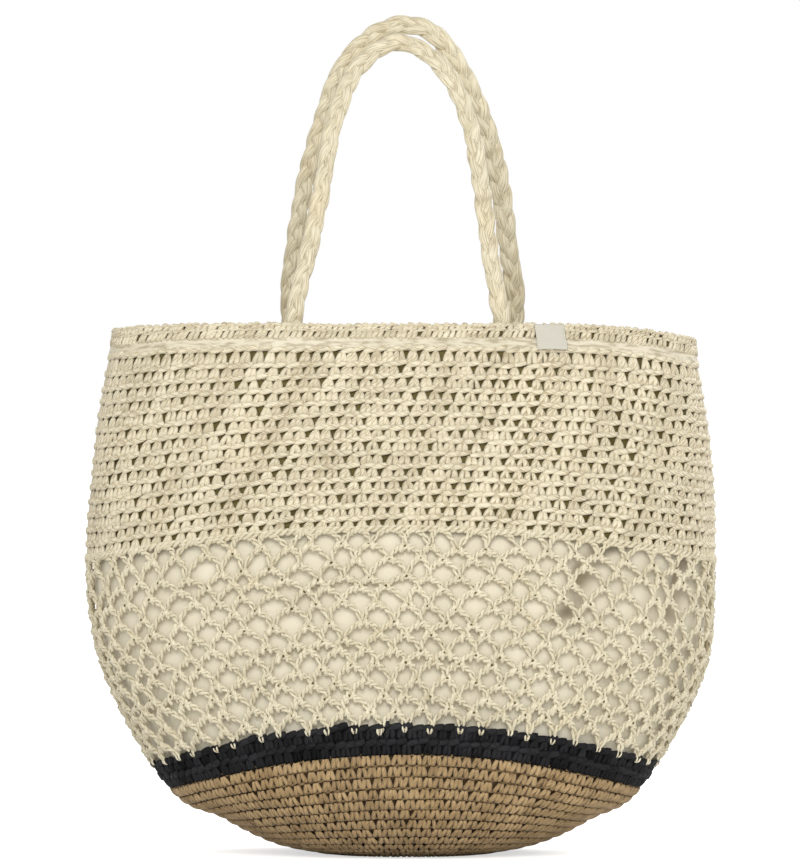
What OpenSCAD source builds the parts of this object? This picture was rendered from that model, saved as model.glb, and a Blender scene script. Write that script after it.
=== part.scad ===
// Crocheted straw beach bag with two braided handles and a cotton lining.
// Millimetres, +Z up. The origin is on the floor under the middle of the bag,
// the front faces -Y and the width runs along X.

/* [Base] */
// Width of the flat that the bag stands on
floor_w = 116; // [90:1:150]
// Depth of the flat that the bag stands on
floor_d = 96; // [70:1:120]
// Width across the top of the brown base
base_w = 332; // [280:1:350]
// Depth across the top of the brown base
base_d = 212; // [180:1:240]
// Height of the brown base at the two sides
base_side_h = 46; // [36:1:60]
// Height of the brown base at the front and back
base_front_h = 74; // [60:1:88]

/* [Bands] */
// Height of the dark band
band_h = 20; // [14:1:30]
// Height of the open net at the front
net_h = 134; // [100:1:170]
// Height of the open net at the sides, dark band included
net_side_h = 160; // [130:1:190]
// Height of the closely worked wall at the front
wall_h = 123; // [90:1:160]
// Height of the smooth tape under the edge
tape_h = 9.5; // [6:0.5:16]
// Height of the worked edge above the tape
edge_h = 8.5; // [6:0.5:14]

/* [Widths and depths] */
// Width half way up the net
net_w = 422; // [340:1:520]
// Depth half way up the net
net_d = 222; // [180:1:250]
// Width where the net meets the wall, the widest level
belly_w = 442; // [360:1:540]
// Depth where the net meets the wall
belly_d = 212; // [170:1:250]
// Width half way up the wall
wall_w = 433; // [370:1:480]
// Depth half way up the wall
wall_d = 184; // [150:1:230]
// Width of the opening edge
rim_w = 409; // [350:1:470]
// Depth of the opening edge
rim_d = 142; // [120:1:200]
// Squareness of the plan outline, 2 is an ellipse
squareness = 2.2; // [2:0.05:2.6]

/* [Thicknesses] */
// Thickness of the crocheted fabric
fabric_t = 4; // [2.5:0.1:6]
// Thickness of the worked edge
edge_t = 5; // [3.5:0.1:7]
// Thickness of the tape and of the label
tape_t = 1; // [0.6:0.1:1.6]
// Thickness of the cotton lining
lining_t = 1.2; // [0.8:0.1:2]
// Room between the crochet and the lining
lining_gap = 0.8; // [0.4:0.1:3]

/* [Handles] */
// Distance between the feet of the front handle
front_span = 143; // [110:1:170]
// Distance between the feet of the back handle
back_span = 152; // [110:1:170]
// Rise of the front handle above its hinge line
front_rise = 200; // [150:1:250]
// Rise of the back handle above its hinge line
back_rise = 213; // [150:1:250]
// Sideways place of the middle of the front handle
front_shift = -3; // [-10:1:10]
// Sideways place of the middle of the back handle
back_shift = -1; // [-10:1:10]
// Fullness of the front arch, 2 is an ellipse
front_fullness = 1.7; // [1.6:0.1:2.6]
// Fullness of the back arch, 2 is an ellipse
back_fullness = 2.1; // [1.6:0.1:2.6]
// Width of one strand of the braid
strand_w = 4.8; // [3.5:0.1:6]
// Thickness of one strand of the braid
strand_t = 4.2; // [3:0.1:5]
// Length of braid in which a strand returns to its side
braid_pitch = 52; // [40:1:70]
// Room between the two handles where they lean together
handle_gap = 3; // [1:0.5:8]
// Height that a handle end is sewn down inside the opening
tab_h = 44; // [30:1:60]
// Width of a sewn handle end
tab_w = 17; // [12:0.5:22]
// Thickness of a sewn handle end
tab_t = 7; // [4:0.5:9]

/* [Label and sewing] */
// Width of the blank label
label_w = 21; // [14:1:32]
// Height of the blank label
label_h = 16; // [10:1:18]
// Distance of the label's middle from the bag's middle
label_x = 105; // [98:1:130]
// Diameter of the sewing thread
thread_d = 0.8; // [0.5:0.1:1.2]
// Number of running stitches that hold the lining
lining_stitch_count = 60; // [30:2:90]
// Drop of the label's top below the top of the edge
label_drop = 1.5; // [0.5:0.5:4]
// Length of a stitch at the label's ends
label_stitch = 3; // [2:0.5:5]

/* [Hidden] */

straw = [0.89, 0.84, 0.70];
camel = [0.66, 0.50, 0.32];
ink = [0.15, 0.16, 0.20];
cotton = [0.86, 0.85, 0.76];
off_white = [0.93, 0.92, 0.90];

// Sides of every ring round the bag, and of a strand
around = 40;
strand_sides = 6;
// Clearance of a strip that follows the same rings as the wall behind it
skin_gap = 0.25;
// Clearance of a small piece that lies on the curved wall
sewn_gap = 0.6;
// Clearance under the thicker edge
seam_gap = 0.3;
// Clearance between a handle's foot and its sewn end
foot_gap = 0.4;
// Height of the hinge line below the top of the edge
hinge_drop = 2;
// Clearance between a handle's foot and the edge as it turns
hinge_gap = 1;
// Share of the net's height at which its middle level stands
net_middle = 0.56;
// Share of the edge's thickness that is rounded off at each side
edge_rounding = 0.25;
// Share of a running stitch's step that shows inside
stitch_share = 0.45;
// Clearance between a running stitch and a sewn handle end
stitch_clear = 12;
// Distance of the label's stitches from its ends
label_inset = 1.5;
// Distance of the crossed stitches from the sides of a handle end
tab_inset = 3;
// Fall of a crossed stitch from one side to the other
tab_slant = 5;
// Shape of the base's slope at the sides, 1 is straight
side_curve = 1.65;
// How late a handle starts to lean, 1 is a straight lean
lean_curve = 1.2;

rim_z = base_front_h + band_h + net_h + wall_h + tape_h + edge_h;
belly_front_z = base_front_h + band_h + net_h;
belly_side_z = base_side_h + net_side_h;

// Levels up the bag: half width, half depth, height at the sides, height at
// the front. A level arches up in the middle of the front and back.
function turn(w) = [
    floor_w / 2 + (base_w - floor_w) / 2 * w,
    floor_d / 2 + (base_d - floor_d) / 2 * sin(90 * w),
    base_side_h * pow(w, side_curve),
    base_front_h * (1 - cos(90 * w))
];
levels = [
    turn(0), turn(1 / 3), turn(2 / 3), turn(1),
    [net_w / 2, net_d / 2, (base_side_h + belly_side_z) / 2,
        base_front_h + (belly_front_z - base_front_h) * net_middle],
    [belly_w / 2, belly_d / 2, belly_side_z, belly_front_z],
    [wall_w / 2, wall_d / 2, (belly_side_z + rim_z) / 2, (belly_front_z + rim_z) / 2],
    [rim_w / 2, rim_d / 2, rim_z, rim_z],
];
top_v = len(levels) - 1;

// Smooth curve through the levels
function blend4(p, t) = 0.5 * (2 * p[1] + (p[2] - p[0]) * t
    + (2 * p[0] - 5 * p[1] + 4 * p[2] - p[3]) * t * t
    + (3 * p[1] - p[0] - 3 * p[2] + p[3]) * t * t * t);
function end_level(i) =
    i < 0 ? levels[0] - (levels[1] - levels[0])
    : i > top_v ? 2 * levels[top_v] - levels[top_v - 1]
    : levels[i];
function level(v) =
    let (i = max(0, min(floor(v), top_v - 1)),
        l = blend4([for (k = [-1:2]) end_level(i + k)], v - i))
    [l[0], l[1], max(0, l[2]), max(0, l[3])];

// Level whose front stands at a height
level_steps = 12;
function v_at(z) = lookup(z, [for (k = [3 * level_steps:top_v * level_steps])
    [level(k / level_steps)[3], k / level_steps]]);
v_base = 3;
v_band = v_at(base_front_h + band_h);
v_belly = 5;
v_tape = v_at(rim_z - edge_h - tape_h);
v_edge = v_at(rim_z - edge_h);
v_edge_low = v_at(rim_z - edge_h + seam_gap);

// Outer surface of the crochet, u in degrees round the bag and v up it
function rounded(c) = sign(c) * pow(abs(c), 2 / squareness);
function skin(u, v) =
    let (l = level(v), c = rounded(cos(u)), s = rounded(sin(u)))
    [l[0] * c, l[1] * s, l[2] + (l[3] - l[2]) * (1 - c * c)];
function unit(p) = p / norm(p);
function outward(u, v) =
    let (du = skin(u + 1, v) - skin(u - 1, v),
        dv = skin(u, min(v + 0.05, top_v)) - skin(u, max(v - 0.05, 0)))
    v <= 0 ? [0, 0, -1] : unit(cross(du, dv));
// Point at a depth under the outer surface, negative depths stand proud
function under(u, v, depth) = skin(u, v) - depth * outward(u, v);
// Angle round the front at which a level reaches x
function front_u(x, v) = -acos(sign(x) * pow(abs(x) / level(v)[0], squareness / 2));

// Two triangles for the four corners of a patch
function patch(a, b, c, d) = [[a, b, c], [a, c, d]];
function flat1(lists) = [for (l = lists) each l];

// Closed section swept right round the bag, the section is [v, depth] points.
// Its last side is split the other way, so that it meets the piece below.
module hoop(section) {
    m = len(section);
    points = [for (i = [0:around - 1]) for (s = section) under(360 * i / around, s[0], s[1])];
    polyhedron(points, flat1([for (i = [0:around - 1]) for (j = [0:m - 1])
        let (k = (i + 1) % around, n = (j + 1) % m)
        j < m - 1 ? patch(i * m + j, i * m + n, k * m + n, k * m + j)
        : patch(i * m + n, k * m + n, k * m + j, i * m + j)]), convexity = 8);
}

// Wall between two depths, with a row of points at each level listed
function wall_section(vs, outer, inner) = concat(
    [for (v = vs) [v, outer]],
    [for (i = [len(vs) - 1:-1:0]) [vs[i], inner]]);
function rows(v0, v1, count) = [for (i = [0:count]) v0 + (v1 - v0) * i / count];
// Levels of the points in each band, which the lining behind it shares
v_lining_seam = 2;
bottom_rows = rows(0, v_lining_seam, 4);
turn_rows = rows(v_lining_seam, v_base, 2);
net_rows = rows(v_band, v_belly, 4);
wall_rows = concat(rows(v_belly, v_tape, 3), [v_edge]);
function after_first(list) = [for (i = [1:len(list) - 1]) list[i]];

// Dish closed over the middle of the floor
module dish(vs, outer, inner) {
    m = 2 * len(vs);
    section = wall_section(vs, outer, inner);
    points = concat(
        [for (i = [0:around - 1]) for (s = section) under(360 * i / around, s[0], s[1])],
        [[0, 0, outer], [0, 0, inner]]);
    low = around * m;
    polyhedron(points, flat1(concat(
        [for (i = [0:around - 1]) for (j = [0:m - 2])
            let (k = (i + 1) % around)
            patch(i * m + j, i * m + j + 1, k * m + j + 1, k * m + j)],
        [for (i = [0:around - 1])
            let (k = (i + 1) % around)
            [[low, i * m, k * m], [low + 1, k * m + m - 1, i * m + m - 1]]])), convexity = 8);
}

// Block that lies along the surface between two angles
module strip(us, vs, outer, inner) {
    m = 2 * len(vs);
    n = len(us);
    r = len(vs);
    section = wall_section(vs, outer, inner);
    points = [for (u = us) for (s = section) under(u, s[0], s[1])];
    polyhedron(points, flat1(concat(
        [for (i = [0:n - 2]) for (j = [0:m - 1])
            let (k = (j + 1) % m)
            patch(i * m + j, i * m + k, (i + 1) * m + k, (i + 1) * m + j)],
        [for (j = [0:r - 2])
            patch(j, m - 1 - j, m - 2 - j, j + 1)],
        [for (j = [0:r - 2]) let (e = (n - 1) * m)
            patch(e + j, e + j + 1, e + m - 2 - j, e + m - 1 - j)])), convexity = 4);
}

// Straight stitch between two points
module stitch(p, q) {
    along = q - p;
    translate(p)
        rotate([0, acos(along[2] / norm(along)), atan2(along[1], along[0])])
            cylinder(h = norm(along), d = thread_d, $fn = 24);
}

// Crocheted body, one band on top of the other
module base_crochet() {
    color(camel) dish(concat(bottom_rows, after_first(turn_rows)), 0, fabric_t);
}
module dark_band() {
    color(ink) hoop(wall_section([v_base, v_band], 0, fabric_t));
}
module net_band() {
    color(straw) hoop(wall_section(net_rows, 0, fabric_t));
}
module upper_wall() {
    color(straw) hoop(wall_section(wall_rows, 0, fabric_t));
}
module rim_tape() {
    color(off_white) hoop(wall_section([v_tape, v_edge], -skin_gap - tape_t, -skin_gap));
}
// The edge is rounded over at the top
edge_out = (fabric_t - edge_t) / 2;
edge_round = edge_t * edge_rounding;
v_round = v_at(rim_z - edge_round);
module rim_edge() {
    color(straw) hoop([
        [v_edge_low, edge_out], [v_round, edge_out], [top_v, edge_out + edge_round],
        [top_v, edge_out + edge_t - edge_round], [v_round, edge_out + edge_t],
        [v_edge_low, edge_out + edge_t],
    ]);
}

// Cotton lining inside the crochet
lining_out = fabric_t + lining_gap;
lining_in = lining_out + lining_t;
v_lining_top = (v_edge + top_v) / 2;
module lining_wall() {
    color(cotton) hoop(wall_section(
        concat(turn_rows, net_rows, after_first(wall_rows), [v_lining_top]),
        lining_out, lining_in));
}
module lining_bottom() {
    color(cotton) dish(bottom_rows, lining_out, lining_in);
}
stitch_depth = lining_in + sewn_gap + thread_d / 2;
v_stitch = v_edge;
module lining_stitches() {
    step = 360 / lining_stitch_count;
    color(off_white) for (i = [0:lining_stitch_count - 1])
        if (!under_tab(i * step))
            stitch(under(i * step, v_stitch, stitch_depth),
                under((i + stitch_share) * step, v_stitch, stitch_depth));
}
// A running stitch is left out where a handle end covers the line
function under_tab(u) = let (x = under(u, v_stitch, stitch_depth)[0])
    len([for (side = [-1, 1]) for (f = [sin(u) < 0 ? front_foot(side) : back_foot(side)])
        if (abs(x - f[0]) < tab_w / 2 + stitch_clear) 1]) > 0;

// Blank label on the front of the edge, and the stitches at its ends
label_depth = -sewn_gap - tape_t;
label_top = rim_z - label_drop;
module label() {
    v0 = v_at(label_top - label_h);
    v1 = v_at(label_top);
    u0 = front_u(label_x - label_w / 2, top_v);
    u1 = front_u(label_x + label_w / 2, top_v);
    color(off_white) strip(rows(u0, u1, 3), rows(v0, v1, 2), label_depth - tape_t, label_depth);
}
module label_stitches() {
    lift = label_depth - tape_t - skin_gap - thread_d / 2;
    color(straw) for (side = [-1, 1]) for (i = [0:2]) {
        u = front_u(label_x + side * (label_w / 2 - label_inset), top_v);
        z = label_top - label_h * (i + 0.5) / 3;
        stitch(under(u, v_at(z + label_stitch / 2), lift), under(u, v_at(z - label_stitch / 2), lift));
    }
}

// Hinge lines of the handles: the middle of the edge beside the feet
braid_swing = 1.06 * strand_w;
braid_depth = 0.7 * strand_t;
braid_t = strand_t + 2 * braid_depth;
foot_half = (front_span + back_span) / 4;
edge_mid_y = -under(front_u(foot_half, top_v), top_v, fabric_t / 2)[1];
hinge_z = rim_z - hinge_drop;
// Distance of a foot from the hinge line, so that it turns clear of the edge
foot_reach = norm([edge_t / 2, hinge_drop]) + braid_t / 2 + hinge_gap;
foot_y = edge_mid_y - foot_reach;
apex_y = (braid_t + handle_gap) / 2;
function front_foot(side) = [front_shift + side * front_span / 2, -foot_y, hinge_z];
function back_foot(side) = [back_shift + side * back_span / 2, foot_y, hinge_z];

// Middle line of a handle: a rounded arch that leans in as it rises
function arch(t, span, rise, shift, fullness, side) =
    let (c = cos(t), s = sin(t), h = pow(abs(s), 2 / fullness),
        x = sign(c) * pow(abs(c), 2 / fullness))
    [shift - x * span / 2,
        side * (foot_y + (apex_y - foot_y) * pow(h, lean_curve)),
        hinge_z + foot_gap + rise * h];
arch_steps = 240;
function arch_line(span, rise, shift, fullness, side) =
    [for (i = [0:arch_steps]) arch(180 * i / arch_steps, span, rise, shift, fullness, side)];
function lengths(line) = [for (i = 0, s = 0; i < len(line);
    s = s + (i < len(line) - 1 ? norm(line[i + 1] - line[i]) : 0), i = i + 1) s];

// One strand: it swings from side to side of the braid and passes over and
// under the other two on the way
rings_per_pitch = 10;
module strand(index, span, rise, shift, fullness, side) {
    line = arch_line(span, rise, shift, fullness, side);
    run = lengths(line);
    total = run[arch_steps];
    angles = [for (i = [0:arch_steps]) [run[i], 180 * i / arch_steps]];
    count = round(total / braid_pitch * rings_per_pitch);
    ring_points = [for (i = [0:count])
        let (s = total * i / count,
            t = lookup(s, angles),
            p = arch(t, span, rise, shift, fullness, side),
            before = arch(max(0, t - 0.5), span, rise, shift, fullness, side),
            after = arch(min(180, t + 0.5), span, rise, shift, fullness, side),
            along = unit(after - before),
            out = unit([0, 1, 0] - along[1] * along),
            across = cross(along, out),
            phase = 360 * (s - total / 2) / braid_pitch + 120 * index,
            centre = p + braid_swing * sin(phase) * across
                + braid_depth * sin(2 * phase) * out)
        for (k = [0:strand_sides - 1])
            let (a = 360 * k / strand_sides)
            centre + strand_w / 2 * cos(a) * across + strand_t / 2 * sin(a) * out];
    m = strand_sides;
    e = count * m;
    polyhedron(ring_points, flat1(concat(
        [for (i = [0:count - 1]) for (k = [0:m - 1])
            let (n = (k + 1) % m)
            patch(i * m + k, i * m + n, (i + 1) * m + n, (i + 1) * m + k)],
        [[for (k = [1:m - 2]) [0, k + 1, k]]],
        [[for (k = [1:m - 2]) [e, e + k, e + k + 1]]])), convexity = 10);
}
module front_strand(index) {
    color(straw) strand(index, front_span, front_rise, front_shift, front_fullness, -1);
}
module back_strand(index) {
    color(straw) strand(index, back_span, back_rise, back_shift, back_fullness, 1);
}

// Sewn-down handle ends, flat against the lining
tab_out = lining_in + sewn_gap;
tab_in = tab_out + tab_t;
v_tab_top = v_at(hinge_z);
v_tab_low = v_at(hinge_z - tab_h);
module tab(foot) {
    u0 = front_u(foot[0] - tab_w / 2, top_v);
    u1 = front_u(foot[0] + tab_w / 2, top_v);
    color(straw)
        mirror([0, foot[1] > 0 ? 1 : 0, 0])
            strip(rows(u0, u1, 2), rows(v_tab_low, v_tab_top, 3), tab_out, tab_in);
}
// Crossed stitches that hold each handle end
module tab_stitches() {
    depth = tab_in + sewn_gap + thread_d / 2;
    reach = tab_w / 2 - tab_inset;
    color(off_white) for (f = [front_foot(-1), front_foot(1), back_foot(-1), back_foot(1)])
        mirror([0, f[1] > 0 ? 1 : 0, 0])
            for (i = [0:2]) {
                z = hinge_z - tab_h * (i + 1) / 4;
                stitch(under(front_u(f[0] - reach, top_v), v_at(z + tab_slant / 2), depth),
                    under(front_u(f[0] + reach, top_v), v_at(z - tab_slant / 2), depth));
            }
}

base_crochet();
dark_band();
net_band();
upper_wall();
rim_tape();
rim_edge();
lining_wall();
lining_bottom();
lining_stitches();
label();
label_stitches();
tab(front_foot(-1));  // front_left_tab
tab(front_foot(1));  // front_right_tab
tab(back_foot(-1));  // back_left_tab
tab(back_foot(1));  // back_right_tab
tab_stitches();
front_strand(0);  // front_strand_1
front_strand(1);  // front_strand_2
front_strand(2);  // front_strand_3
back_strand(0);  // back_strand_1
back_strand(1);  // back_strand_2
back_strand(2);  // back_strand_3
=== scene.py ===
# Crocheted straw beach bag with braided handles, a net band and a cotton lining.
# Metres. The bag stands on the origin, the front faces -Y and the width runs along X.
import math

import bpy
import numpy as np
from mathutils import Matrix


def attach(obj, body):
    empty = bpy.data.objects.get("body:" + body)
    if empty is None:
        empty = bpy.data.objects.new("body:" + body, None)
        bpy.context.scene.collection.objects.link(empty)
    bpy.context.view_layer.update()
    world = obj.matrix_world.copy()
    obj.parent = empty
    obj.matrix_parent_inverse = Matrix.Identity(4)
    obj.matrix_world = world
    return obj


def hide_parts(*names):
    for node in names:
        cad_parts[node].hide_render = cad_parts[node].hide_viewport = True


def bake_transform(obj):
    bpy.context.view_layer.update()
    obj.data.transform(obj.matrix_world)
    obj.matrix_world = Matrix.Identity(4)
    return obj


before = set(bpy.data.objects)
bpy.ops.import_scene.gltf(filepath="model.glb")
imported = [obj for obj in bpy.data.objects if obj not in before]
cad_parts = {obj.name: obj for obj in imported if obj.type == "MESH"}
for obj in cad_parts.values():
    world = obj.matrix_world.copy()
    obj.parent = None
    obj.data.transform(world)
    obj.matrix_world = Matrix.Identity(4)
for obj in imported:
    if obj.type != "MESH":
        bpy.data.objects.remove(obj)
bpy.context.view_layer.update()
scene = bpy.context.scene
print("frame loaded")

# Camera, floor and light
view = {"distance": 4.5, "height": 0.2935, "side": -0.0014, "fieldWidth": 0.56, "sensor": 36.0}
cameraData = bpy.data.cameras.new("camera")
cameraData.sensor_fit = "HORIZONTAL"
cameraData.sensor_width = view["sensor"]
cameraData.lens = view["sensor"] * view["distance"] / view["fieldWidth"]
cameraData.clip_end = 900
camera = bpy.data.objects.new("camera", cameraData)
camera.location = (view["side"], -view["distance"], view["height"])
camera.rotation_euler = (math.pi / 2, 0, 0)
scene.collection.objects.link(camera)
scene.camera = camera
scene.view_settings.view_transform = "Standard"

studio = {
    "world": 0.72, "backdrop": 1.0, "floorColour": (0.86, 0.86, 0.855), "floorGlow": 0.62, "floorRadius": 400,
    "key": {"place": (-0.05, -2.6, 1.35), "aim": (0, 0, 0.24), "size": (1.8, 1.4), "power": 45},
    "fill": {"place": (1.6, 1.8, 1.8), "aim": (0, 0, 0.25), "size": (1.4, 1.4), "power": 42},
}
world = bpy.data.worlds.new("studio")
scene.world = world
world.use_nodes = True
worldNodes = world.node_tree.nodes
worldLinks = world.node_tree.links
worldNodes.clear()
skyLight = worldNodes.new("ShaderNodeBackground")
skyLight.inputs["Strength"].default_value = studio["world"]
backdrop = worldNodes.new("ShaderNodeBackground")
backdrop.inputs["Strength"].default_value = studio["backdrop"]
for background in (skyLight, backdrop):
    background.inputs["Color"].default_value = (1, 1, 1, 1)
rays = worldNodes.new("ShaderNodeLightPath")
chooser = worldNodes.new("ShaderNodeMixShader")
worldOut = worldNodes.new("ShaderNodeOutputWorld")
worldLinks.new(rays.outputs["Is Camera Ray"], chooser.inputs[0])
worldLinks.new(skyLight.outputs[0], chooser.inputs[1])
worldLinks.new(backdrop.outputs[0], chooser.inputs[2])
worldLinks.new(chooser.outputs[0], worldOut.inputs[0])


def areaLight(name, place, aim, size, power):
    data = bpy.data.lights.new(name, "AREA")
    data.shape = "RECTANGLE"
    data.size, data.size_y = size
    data.energy = power
    lamp = bpy.data.objects.new(name, data)
    scene.collection.objects.link(lamp)
    away = np.array(place, float) - np.array(aim, float)
    lamp.location = place
    lamp.rotation_euler = (math.atan2(np.hypot(away[0], away[1]), away[2]), 0, math.atan2(away[0], -away[1]))


for name in ("key", "fill"):
    areaLight(name, **studio[name])
print("camera and lights ready")


# Materials
def nodeTree(name):
    material = bpy.data.materials.new(name)
    material.use_nodes = True
    nodes = material.node_tree.nodes
    shader = nodes["Principled BSDF"]
    return material, nodes, material.node_tree.links, shader


def mixColour(nodes, links, factor, first, second, mode="MIX"):
    mix = nodes.new("ShaderNodeMix")
    mix.data_type = "RGBA"
    mix.blend_type = mode
    for socket, value in ((mix.inputs[0], factor), (mix.inputs[6], first), (mix.inputs[7], second)):
        if isinstance(value, bpy.types.NodeSocket):
            links.new(value, socket)
        elif isinstance(value, (tuple, list)):
            socket.default_value = (*value, 1)
        else:
            socket.default_value = value
    return mix.outputs[2]


def noise(nodes, links, coords, scale, detail=2.0, stretch=(1, 1, 1)):
    mapping = nodes.new("ShaderNodeMapping")
    mapping.inputs["Scale"].default_value = stretch
    links.new(coords, mapping.inputs["Vector"])
    texture = nodes.new("ShaderNodeTexNoise")
    texture.inputs["Scale"].default_value = scale
    texture.inputs["Detail"].default_value = detail
    links.new(mapping.outputs[0], texture.inputs["Vector"])
    return texture.outputs["Fac"]


def spread(nodes, links, value, low, high):
    ramp = nodes.new("ShaderNodeMapRange")
    ramp.inputs["From Min"].default_value = low
    ramp.inputs["From Max"].default_value = high
    links.new(value, ramp.inputs["Value"])
    return ramp.outputs["Result"]


# Twisted straw: fibres run along the yarn's own UV map, and each stitch has its own tone
def strawYarn(name, pale, deep, warm, roughness=0.62, fibres=9.0, bump=0.5, gloss=0.3, sheen=0.15, streaks=0.75):
    material, nodes, links, shader = nodeTree(name)
    uv = nodes.new("ShaderNodeUVMap").outputs["UV"]
    place = nodes.new("ShaderNodeTexCoord").outputs["Object"]
    tone = nodes.new("ShaderNodeAttribute")
    tone.attribute_name = "tone"
    fibre = noise(nodes, links, uv, 1.0, 3.0, (0.9, fibres, 1))
    patch = noise(nodes, links, place, 26.0, 3.0)
    colour = mixColour(nodes, links, spread(nodes, links, tone.outputs["Fac"], 0.0, 1.0), deep, pale)
    colour = mixColour(nodes, links, spread(nodes, links, patch, 0.52, 0.72), colour, warm)
    grain = nodes.new("ShaderNodeValToRGB")
    grain.color_ramp.elements[0].position = 0.36
    grain.color_ramp.elements[0].color = (0.52, 0.465, 0.37, 1)
    grain.color_ramp.elements[1].position = 0.54
    grain.color_ramp.elements[1].color = (1, 1, 1, 1)
    links.new(fibre, grain.inputs[0])
    colour = mixColour(nodes, links, streaks, colour, grain.outputs[0], "MULTIPLY")
    links.new(colour, shader.inputs["Base Color"])
    rough = nodes.new("ShaderNodeMapRange")
    rough.inputs["To Min"].default_value = roughness - 0.1
    rough.inputs["To Max"].default_value = roughness + 0.15
    links.new(fibre, rough.inputs["Value"])
    links.new(rough.outputs[0], shader.inputs["Roughness"])
    relief = nodes.new("ShaderNodeBump")
    relief.inputs["Strength"].default_value = bump
    relief.inputs["Distance"].default_value = 0.0006
    links.new(fibre, relief.inputs["Height"])
    links.new(relief.outputs[0], shader.inputs["Normal"])
    shader.inputs["Specular IOR Level"].default_value = gloss
    shader.inputs["Sheen Weight"].default_value = sheen
    return material


# Woven cloth: two crossed waves of threads on the piece's own UV map, in metres, and painted shade that darkens the
# colour where the tone attribute marks a crease
def wovenCloth(name, pale, deep, threads, bump=0.25, roughness=0.85):
    material, nodes, links, shader = nodeTree(name)
    uv = nodes.new("ShaderNodeUVMap").outputs["UV"]
    place = nodes.new("ShaderNodeTexCoord").outputs["Object"]
    weave = []
    for turn in (0.0, math.pi / 2):
        mapping = nodes.new("ShaderNodeMapping")
        mapping.inputs["Rotation"].default_value[2] = turn
        links.new(uv, mapping.inputs["Vector"])
        wave = nodes.new("ShaderNodeTexWave")
        wave.inputs["Scale"].default_value = threads
        wave.inputs["Distortion"].default_value = 0.8
        wave.inputs["Detail"].default_value = 2.0
        links.new(mapping.outputs[0], wave.inputs["Vector"])
        weave.append(wave.outputs["Fac"])
    crossing = nodes.new("ShaderNodeMath")
    crossing.operation = "MAXIMUM"
    links.new(weave[0], crossing.inputs[0])
    links.new(weave[1], crossing.inputs[1])
    cloudy = noise(nodes, links, place, 18.0, 4.0)
    colour = mixColour(nodes, links, spread(nodes, links, cloudy, 0.3, 0.7), deep, pale)
    colour = mixColour(nodes, links, spread(nodes, links, crossing.outputs[0], 1.6, -0.2), colour, deep)
    fold = nodes.new("ShaderNodeAttribute")  # 1 on open cloth, down to 0 deep in a crease
    fold.attribute_name = "tone"
    # Painted shade: the colour falls towards a much darker brown where the tone attribute drops in a crease
    colour = mixColour(nodes, links, fold.outputs["Fac"], (deep[0] * 0.42, deep[1] * 0.36, deep[2] * 0.28), colour)
    links.new(colour, shader.inputs["Base Color"])
    relief = nodes.new("ShaderNodeBump")
    relief.inputs["Strength"].default_value = bump
    relief.inputs["Distance"].default_value = 0.0003
    links.new(crossing.outputs[0], relief.inputs["Height"])
    links.new(relief.outputs[0], shader.inputs["Normal"])
    shader.inputs["Roughness"].default_value = roughness
    shader.inputs["Specular IOR Level"].default_value = 0.2
    shader.inputs["Sheen Weight"].default_value = 0.2
    return material


# Each yarn: its pale, deep and warm colours, then what differs from the plain finish
creamStraw = strawYarn("cream_straw", (0.76, 0.685, 0.51), (0.57, 0.50, 0.35), (0.735, 0.655, 0.475),
                       bump=0.9, streaks=0.85)
netStraw = strawYarn("net_straw", (0.76, 0.695, 0.52), (0.63, 0.57, 0.41), (0.69, 0.615, 0.44), streaks=0.6)
# Painted shade: a dark olive straw for shells and blobs set behind the cream stitches, standing for the shadow seen
# through the gaps
creamPaintedShade = strawYarn("cream_straw_painted_shade", (0.165, 0.135, 0.045), (0.10, 0.078, 0.022), (0.14, 0.11, 0.034), gloss=0.1)
camelStraw = strawYarn("camel_straw", (0.47, 0.33, 0.17), (0.285, 0.19, 0.09), (0.395, 0.268, 0.126),
                       gloss=0.2, bump=0.8, streaks=0.85)
# Painted shade: a near-black brown straw for the shell behind the base stitches, standing for the shadow seen through
# the gaps
camelPaintedShade = strawYarn("camel_straw_painted_shade", (0.07, 0.04, 0.014), (0.035, 0.02, 0.006), (0.05, 0.03, 0.010), gloss=0.1)
darkStraw = strawYarn("dark_straw", (0.026, 0.026, 0.029), (0.0015, 0.0015, 0.002), (0.006, 0.006, 0.007),
                      gloss=0.1, sheen=0.0, bump=0.9, streaks=0.95)
braidStraw = strawYarn("braid_straw", (0.76, 0.695, 0.52), (0.66, 0.59, 0.42), (0.71, 0.625, 0.44),
                       fibres=24.0, bump=1.2, streaks=0.8)
flatTape = strawYarn("flat_tape", (0.69, 0.63, 0.49), (0.60, 0.54, 0.40), (0.64, 0.57, 0.41), fibres=5.0, bump=0.4)
cottonCloth = wovenCloth("cotton_lining", (0.83, 0.78, 0.645), (0.76, 0.70, 0.55), 420.0)
labelCloth = wovenCloth("label_cloth", (0.60, 0.57, 0.485), (0.50, 0.475, 0.40), 900.0)
sewingThread = strawYarn("sewing_thread", (0.86, 0.82, 0.70), (0.76, 0.71, 0.58), (0.8, 0.74, 0.6), fibres=3.0)
floorFinish, floorNodes, floorLinks, floorShader = nodeTree("pale_floor")
floorShader.inputs["Base Color"].default_value = (*studio["floorColour"], 1)
floorShader.inputs["Roughness"].default_value = 0.9
floorShader.inputs["Specular IOR Level"].default_value = 0.0
floorShader.inputs["Emission Color"].default_value = (1, 1, 1, 1)
floorRays = floorNodes.new("ShaderNodeLightPath")
floorGlow = floorNodes.new("ShaderNodeMath")
floorGlow.operation = "MULTIPLY"
floorGlow.inputs[1].default_value = studio["floorGlow"]
floorLinks.new(floorRays.outputs["Is Camera Ray"], floorGlow.inputs[0])
floorLinks.new(floorGlow.outputs[0], floorShader.inputs["Emission Strength"])
print("materials ready")


# Mesh helpers
def unit(a):
    return a / np.maximum(np.linalg.norm(a, axis=-1, keepdims=True), 1e-12)


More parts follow.
